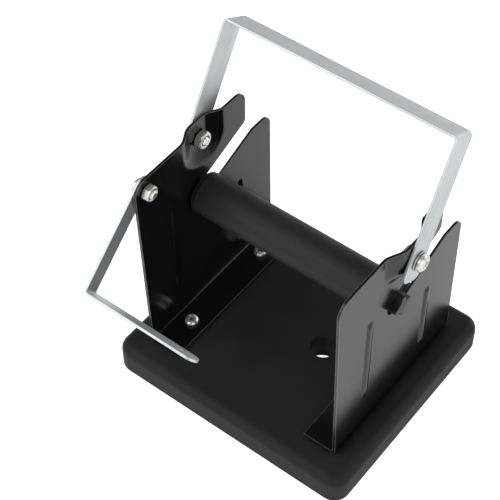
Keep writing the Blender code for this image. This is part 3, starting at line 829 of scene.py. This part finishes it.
def build_screw(name, head, shank_radius, shank_length):
    low = -shank_length + shank_radius * SHANK_TIP_TAPER
    thread = (low, -THREAD_END, THREAD_PITCH, THREAD_DEPTH)
    screw = link(name, lathe(pan_head_profile(head, shank_radius, shank_length), 48, thread))
    boolean(screw, cross_cutter(f"{name}_recess", *head))
    soften(screw, HEAD_EDGE, 2, 50.0)
    bake(screw, 45.0)
    return screw


def build_nut(name, flats):
    corner = flats / math.sqrt(3)
    nut = link(name, prism(circle(corner, 6), 0, NUT_HEIGHT))
    form = [
        (-0.4 * MM, 0),
        (-0.4 * MM, flats * 0.36),
        (NUT_HEIGHT * 0.14, corner * 1.01),
        (NUT_HEIGHT * 0.80, corner * 1.01),
        (NUT_HEIGHT + 0.25 * MM, flats * 0.40),
        (NUT_HEIGHT + 0.25 * MM, 0),
    ]
    boolean(nut, link(f"{name}_form", lathe(form, 72)), "INTERSECT")
    bore = [
        (-OVERCUT, 0),
        (-OVERCUT, BOLT_RADIUS + NUT_BORE_FLARE),
        (NUT_BORE_CHAMFER, NUT_BORE),
        (NUT_HEIGHT - NUT_BORE_CHAMFER, NUT_BORE),
        (NUT_HEIGHT + OVERCUT, BOLT_RADIUS + NUT_BORE_FLARE),
        (NUT_HEIGHT + OVERCUT, 0),
    ]
    boolean(nut, link(f"{name}_bore", lathe(bore, 48)))
    soften(nut, NUT_EDGE, 2, 25.0)
    bake(nut, 30.0)
    return nut


def build_washer(name, height):
    washer = link(name, prism(circle(WASHER_RADIUS, 72), 0, height))
    boolean(washer, cylinder(f"{name}_bore", BOLT_RADIUS + CLEAR, -OVERCUT, height + OVERCUT))
    soften(washer, WASHER_EDGE, 3)
    bake(washer)
    return washer


def build_flange_screws(look):
    for side, sign in SIDES:
        for end in ("front", "rear"):
            node = f"flange_screw_{side}_{end}"
            low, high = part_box(node)
            screw = build_screw(
                f"screw_{side}_{end}", FLANGE_SCREW_HEAD, FLANGE_SCREW_RADIUS, FLANGE_SCREW_DEPTH
            )
            upright = Matrix.Rotation(-math.pi / 2, 4, "Y")
            spin = Matrix.Rotation(0.5 + 0.9 * sign, 4, "X")
            place = Matrix.Translation(((low.x + high.x) / 2, (low.y + high.y) / 2, FLANGE_TOP + CLEAR))
            screw.data.transform(place @ upright @ spin)
            finish_piece(screw, look, "stand", node)


def build_pivot(label, sign, pivot, head, flats, plate_x, looks):
    """Bolt, washer and nut of one pivot, on the places of their CAD nodes."""
    low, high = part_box(f"{label}_washer")
    washer = build_washer(f"{label}_disc", high.x - low.x)
    placed(washer, sign, high.x if sign < 0 else low.x, pivot)
    finish_piece(washer, looks["washer"], "stand", f"{label}_washer")

    low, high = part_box(f"{label}_bolt")
    length = high.x - low.x
    bolt = build_screw(f"{label}_screw", head, BOLT_RADIUS, length - head[1])
    placed(bolt, sign, sign * (max(abs(low.x), abs(high.x)) - head[1]), pivot)
    finish_piece(bolt, looks["bolt"], "stand", f"{label}_bolt")

    nut = build_nut(f"{label}_hexnut", flats)
    placed(nut, -sign, sign * (plate_x - CLEAR), pivot)
    finish_piece(nut, looks["bolt"], "stand", f"{label}_nut")


# ------------------------------------------------------------------- guides


def bend_strip(path, bend, width):
    """Bmesh of a flat strip, wide along Y. path holds the (x, z) corners of its outer face."""
    outer = [(*path[0], 0)] + [(*p, bend + STRIP) for p in path[1:-1]] + [(*path[-1], 0)]
    inner = []
    for i, point in enumerate(path):
        here = Vector(point)
        ways = []
        if i > 0:
            ways.append((here - Vector(path[i - 1])).normalized())
        if i < len(path) - 1:
            ways.append((Vector(path[i + 1]) - here).normalized())
        shift = sum((Vector((way.y, -way.x)) for way in ways), Vector((0, 0)))
        ends = i in (0, len(path) - 1)
        inner.append((*(here + shift * STRIP), 0 if ends else bend))
    return prism(rounded(outer + inner[::-1]), -width / 2, width / 2, "Y")


def stadium(low, high, width):
    """Outline in YZ of a bar with round ends."""
    radius = width / 2
    half_turn = [math.pi * k / 32 for k in range(33)]
    top = [(radius * math.cos(t), high - radius + radius * math.sin(t)) for t in half_turn]
    foot = [(-radius * math.cos(t), low + radius - radius * math.sin(t)) for t in half_turn]
    return top + foot


def build_guide_bar(look):
    outer = BAR_STRIP_X + STRIP
    foot = outer + BAR_LEAN * BAR_TAIL / BAR_REACH
    top = outer - BAR_LEAN
    path = [(-foot, -BAR_TAIL), (-top, BAR_REACH), (top, BAR_REACH), (foot, -BAR_TAIL)]
    bar = link("bar", bend_strip(path, BAR_BEND, BAR_STRIP_WIDTH))
    half = BAR_STRIP_WIDTH / 2
    ends = rounded(
        [
            (-half, -BAR_TAIL, BAR_FOOT_ROUND),
            (half, -BAR_TAIL, BAR_FOOT_ROUND),
            (half, 2 * BAR_REACH, 0),
            (-half, 2 * BAR_REACH, 0),
        ]
    )
    boolean(bar, link("bar_ends", prism(ends, -2 * outer, 2 * outer)), "INTERSECT")
    boolean(bar, cylinder("bar_eye", BOLT_RADIUS + CLEAR, -2 * outer, 2 * outer))
    soften(bar, SHEARED_EDGE, 3, 40.0)
    bake(bar)
    bar.location = BAR_PIVOT
    bar.rotation_euler.x = BAR_ANGLE - math.pi / 2
    finish_piece(bar, look, "swing_bar", "guide_bar")


def build_guide_arm(look):
    outer = ARM_STRIP_X + STRIP
    path = [(-outer, -ARM_TAIL), (-outer, ARM_REACH), (-outer + ARM_BAR_LENGTH, ARM_REACH)]
    arm = link("arm", bend_strip(path, ARM_BEND, ARM_STRIP_WIDTH))
    leg_end = stadium(-ARM_TAIL, 2 * ARM_REACH, ARM_STRIP_WIDTH)
    boolean(arm, link("arm_leg", prism(leg_end, -2 * outer, 2 * outer)), "INTERSECT")
    tip = [(-outer + ARM_BAR_LENGTH - a, b) for b, a in stadium(0, 3 * outer, ARM_STRIP_WIDTH)]
    boolean(arm, link("arm_tip", prism(tip, -2 * ARM_TAIL, 2 * ARM_REACH, "Z")), "INTERSECT")
    boolean(arm, cylinder("arm_pivot_eye", BOLT_RADIUS + CLEAR, -2 * outer, 0))
    eye = cylinder("arm_wire_eye", ARM_EYE_RADIUS, 0, 2 * ARM_REACH, "Z", 40)
    eye.location.x = -outer + ARM_BAR_LENGTH - ARM_EYE_INSET
    boolean(arm, eye)
    soften(arm, SHEARED_EDGE, 3, 40.0)
    bake(arm)
    arm.location = ARM_PIVOT
    arm.rotation_euler.x = ARM_ANGLE - math.pi / 2
    finish_piece(arm, look, "swing_arm", "guide_arm")


# ------------------------------------------------------------------- roller


def star_outline():
    """Four-pointed cross section with hollow flanks, points up, down, front and back."""
    outline = []
    flank = math.atan2(STAR_TIP_HALF, STAR_RADIUS)
    for k in range(4):
        turn = math.pi / 2 * k
        for part in (-1, -0.4, 0.4, 1):
            outline.append((STAR_RADIUS, turn + flank * part))
        for share in (0.15, 0.3, 0.45, 0.55, 0.7, 0.85):
            low, high = flank, math.pi / 2 - flank
            dip = math.sin(math.pi * share) ** STAR_HOLLOW
            radius = STAR_RADIUS - (STAR_RADIUS - STAR_WAIST) * dip
            outline.append((radius, turn + low + (high - low) * share))
    return [(radius * math.cos(angle), radius * math.sin(angle)) for radius, angle in outline]


def build_roller(looks):
    tube_end = tube_high.x
    bore = TUBE_RADIUS - TUBE_WALL
    lip = ROLLER_EDGE
    profile = [(-tube_end, 0), (-tube_end, TUBE_RADIUS - lip)]
    profile += [(-tube_end + lip, TUBE_RADIUS)]
    profile += [(x, TUBE_RADIUS) for x in spread(-tube_end + 2 * lip, tube_end - 2 * lip, TUBE_RING_STEP)]
    profile += [(tube_end - lip, TUBE_RADIUS), (tube_end, TUBE_RADIUS - lip), (tube_end, 0)]
    tube = link("tube", lathe(profile, 96))
    boolean(tube, cylinder("tube_bore", bore, -HALF_GAP, HALF_GAP, "X", 96))
    bake(tube)
    tube.location = AXLE
    finish_piece(tube, looks["tube"], "roller", "reel_tube")

    star_foot = tube_end + BUSH_FLANGE + STAR_GAP
    rod_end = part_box("axle_rod")[1].x
    rod_profile = [(-rod_end, 0), (-rod_end, ROD_RADIUS - lip), (-rod_end + lip, ROD_RADIUS)]
    rod_profile += [(rod_end - lip, ROD_RADIUS), (rod_end, ROD_RADIUS - lip), (rod_end, 0)]
    rod = link("rod", lathe(rod_profile, 48))
    rod.location = AXLE
    finish_piece(rod, looks["rod"], "axle", "axle_rod")

    for side, sign in SIDES:
        profile = [
            (tube_end - BUSH_LENGTH, 0),
            (tube_end - BUSH_LENGTH, bore - CLEAR - lip),
            (tube_end - BUSH_LENGTH + lip, bore - CLEAR),
            (tube_end + CLEAR, bore - CLEAR),
            (tube_end + CLEAR, TUBE_RADIUS - CLEAR),
            (tube_end + BUSH_FLANGE - lip, TUBE_RADIUS - CLEAR),
            (tube_end + BUSH_FLANGE, TUBE_RADIUS - CLEAR - lip),
            (tube_end + BUSH_FLANGE, 0),
        ]
        bush = link(f"bush_{side}", lathe(profile, 96))
        boolean(bush, cylinder(f"bush_{side}_bore", HUB_RADIUS + CLEAR, 0, HALF_GAP))
        bake(bush)
        star = prism(star_outline(), star_foot - 1 * MM, HALF_GAP + SHEET + STAR_PROUD)
        end = link(f"star_{side}", star)
        trim = cylinder(
            f"star_{side}_trim", 2 * STAR_RADIUS, star_foot - 2 * HUB_LENGTH, star_foot, "X", 48
        )
        hub = cylinder(f"star_{side}_hub", HUB_RADIUS, star_foot - HUB_LENGTH, star_foot)
        socket = cylinder(f"star_{side}_socket", ROD_RADIUS + CLEAR, 0, rod_end + CLEAR)
        boolean(end, trim)
        boolean(end, hub, "UNION")
        boolean(end, socket)
        soften(end, STAR_EDGE, 3, 50.0)
        bake(end)
        for obj in (bush, end):
            if sign < 0:
                obj.data.transform(Matrix.Rotation(math.pi, 4, "Z"))
            obj.location = AXLE
        finish_piece(bush, looks["bush"], "roller", f"tube_bush_{side}")
        finish_piece(end, looks["end"], "axle", f"axle_end_{side}")


# ------------------------------------------------------------------- studio


def build_floor():
    mesh = bpy.data.meshes.new("studio_floor")
    size = 15.0
    mesh.from_pydata(
        [(-size, -size, 0), (size, -size, 0), (size, size, 0), (-size, size, 0)], [], [(0, 1, 2, 3)]
    )
    floor = bpy.data.objects.new("studio_floor", mesh)
    bpy.context.scene.collection.objects.link(floor)
    floor.location.z = -0.05 * MM
    look = Nodes("floor_white")
    paper = look.noise(60.0, 4.0, 0.6)
    colour = look.mix(look.span(paper, 0.3, 0.7, 0.0, 1.0), grey(0.86), grey(0.88))
    seen = look.add("ShaderNodeLightPath").outputs["Is Camera Ray"]
    glow = look.span(seen, 0.0, 1.0, 0.36, 0.90)
    look.set(Base_Color=colour, Roughness=0.9, Emission_Color=grey(1.0), Emission_Strength=glow)
    look.put(look.shader.inputs["Specular IOR Level"], 0.0)
    mesh.materials.append(look.material)


def build_world():
    """Pale at the horizon, dim overhead, as in a light tent that is open at the top."""
    world = bpy.data.worlds.new("studio")
    bpy.context.scene.world = world
    world.use_nodes = True
    tree = world.node_tree
    coords = tree.nodes.new("ShaderNodeTexCoord")
    parts = tree.nodes.new("ShaderNodeSeparateXYZ")
    ramp = tree.nodes.new("ShaderNodeValToRGB")
    tree.links.new(coords.outputs["Generated"], parts.inputs["Vector"])
    tree.links.new(parts.outputs["Z"], ramp.inputs["Fac"])
    stops = ramp.color_ramp.elements
    stops[0].position = 0.0
    stops[0].color = grey(0.80)
    stops[1].position = 1.0
    stops[1].color = grey(0.30)
    for position, level in ((0.18, 0.66), (0.42, 0.30), (0.70, 0.14)):
        stops.new(position).color = grey(level)
    white = tree.nodes.new("ShaderNodeMix")
    white.data_type = "RGBA"
    white.inputs[7].default_value = grey(1.0)
    seen = tree.nodes.new("ShaderNodeLightPath")
    tree.links.new(seen.outputs["Is Camera Ray"], white.inputs[0])
    tree.links.new(ramp.outputs["Color"], white.inputs[6])
    background = tree.nodes["Background"]
    tree.links.new(white.outputs[2], background.inputs["Color"])
    background.inputs["Strength"].default_value = 1.0


def add_area(name, place, target, size, power):
    data = bpy.data.lights.new(name, "AREA")
    data.shape = "RECTANGLE"
    data.size, data.size_y = size
    data.energy = power
    lamp = bpy.data.objects.new(name, data)
    bpy.context.scene.collection.objects.link(lamp)
    lamp.location = place
    lamp.rotation_euler = (Vector(target) - Vector(place)).to_track_quat("-Z", "Y").to_euler()


def build_lights():
    middle = (0.0, 0.0, 0.07)
    add_area("key", (-0.75, -0.95, 1.05), middle, (1.6, 1.6), 14.0)
    add_area("fill", (1.15, -0.45, 0.75), middle, (1.4, 1.4), 7.0)
    add_area("rim", (0.55, 1.20, 0.80), middle, (1.4, 0.8), 6.0)


def build_camera():
    """Stand where the photo was taken from, as fitted to the stand's edges."""
    azimuth, elevation, roll = map(math.radians, (CAMERA_AZIMUTH, CAMERA_ELEVATION, CAMERA_ROLL))
    back = Vector(
        (
            math.sin(azimuth) * math.cos(elevation),
            -math.cos(azimuth) * math.cos(elevation),
            math.sin(elevation),
        )
    )
    level = (-back).cross(Vector((0, 0, 1))).normalized()
    up = level.cross(-back)
    right = level * math.cos(roll) + up * math.sin(roll)
    over = up * math.cos(roll) - level * math.sin(roll)
    data = bpy.data.cameras.new("camera")
    data.sensor_width = CAMERA_SENSOR
    data.lens = CAMERA_LENS
    data.clip_start = 0.01
    camera = bpy.data.objects.new("camera", data)
    bpy.context.scene.collection.objects.link(camera)
    turn = Matrix((right, over, back)).transposed().to_4x4()
    place = Vector(CAMERA_TARGET) + back * CAMERA_DISTANCE
    camera.matrix_world = Matrix.Translation(place) @ turn
    bpy.context.scene.camera = camera


def main():
    slab_black = slab_look()
    plate_black = plate_look()
    nickel = nickel_look()
    steel = steel_look()
    zinc = zinc_look()
    plug = plug_look()
    build_slab(slab_black)
    build_pad(rubber_look())
    for side, sign in SIDES:
        build_plate(side, sign, plate_black)
    build_flange_screws(nickel)
    looks = {"bolt": nickel, "washer": steel}
    for side, sign in SIDES:
        plate_x = HALF_GAP + DISH_DEPTH
        build_pivot(f"guide_bar_{side}", sign, BAR_PIVOT, BAR_BOLT_HEAD, BAR_NUT_FLATS, plate_x, looks)
    build_pivot("guide_arm", -1, ARM_PIVOT, ARM_BOLT_HEAD, ARM_NUT_FLATS, HALF_GAP, looks)
    build_guide_bar(zinc)
    build_guide_arm(zinc)
    build_roller({"tube": tube_look(), "rod": steel, "bush": plug, "end": plug})
    build_floor()
    build_world()
    build_lights()
    build_camera()
    bpy.context.scene.view_settings.view_transform = "Standard"


main()
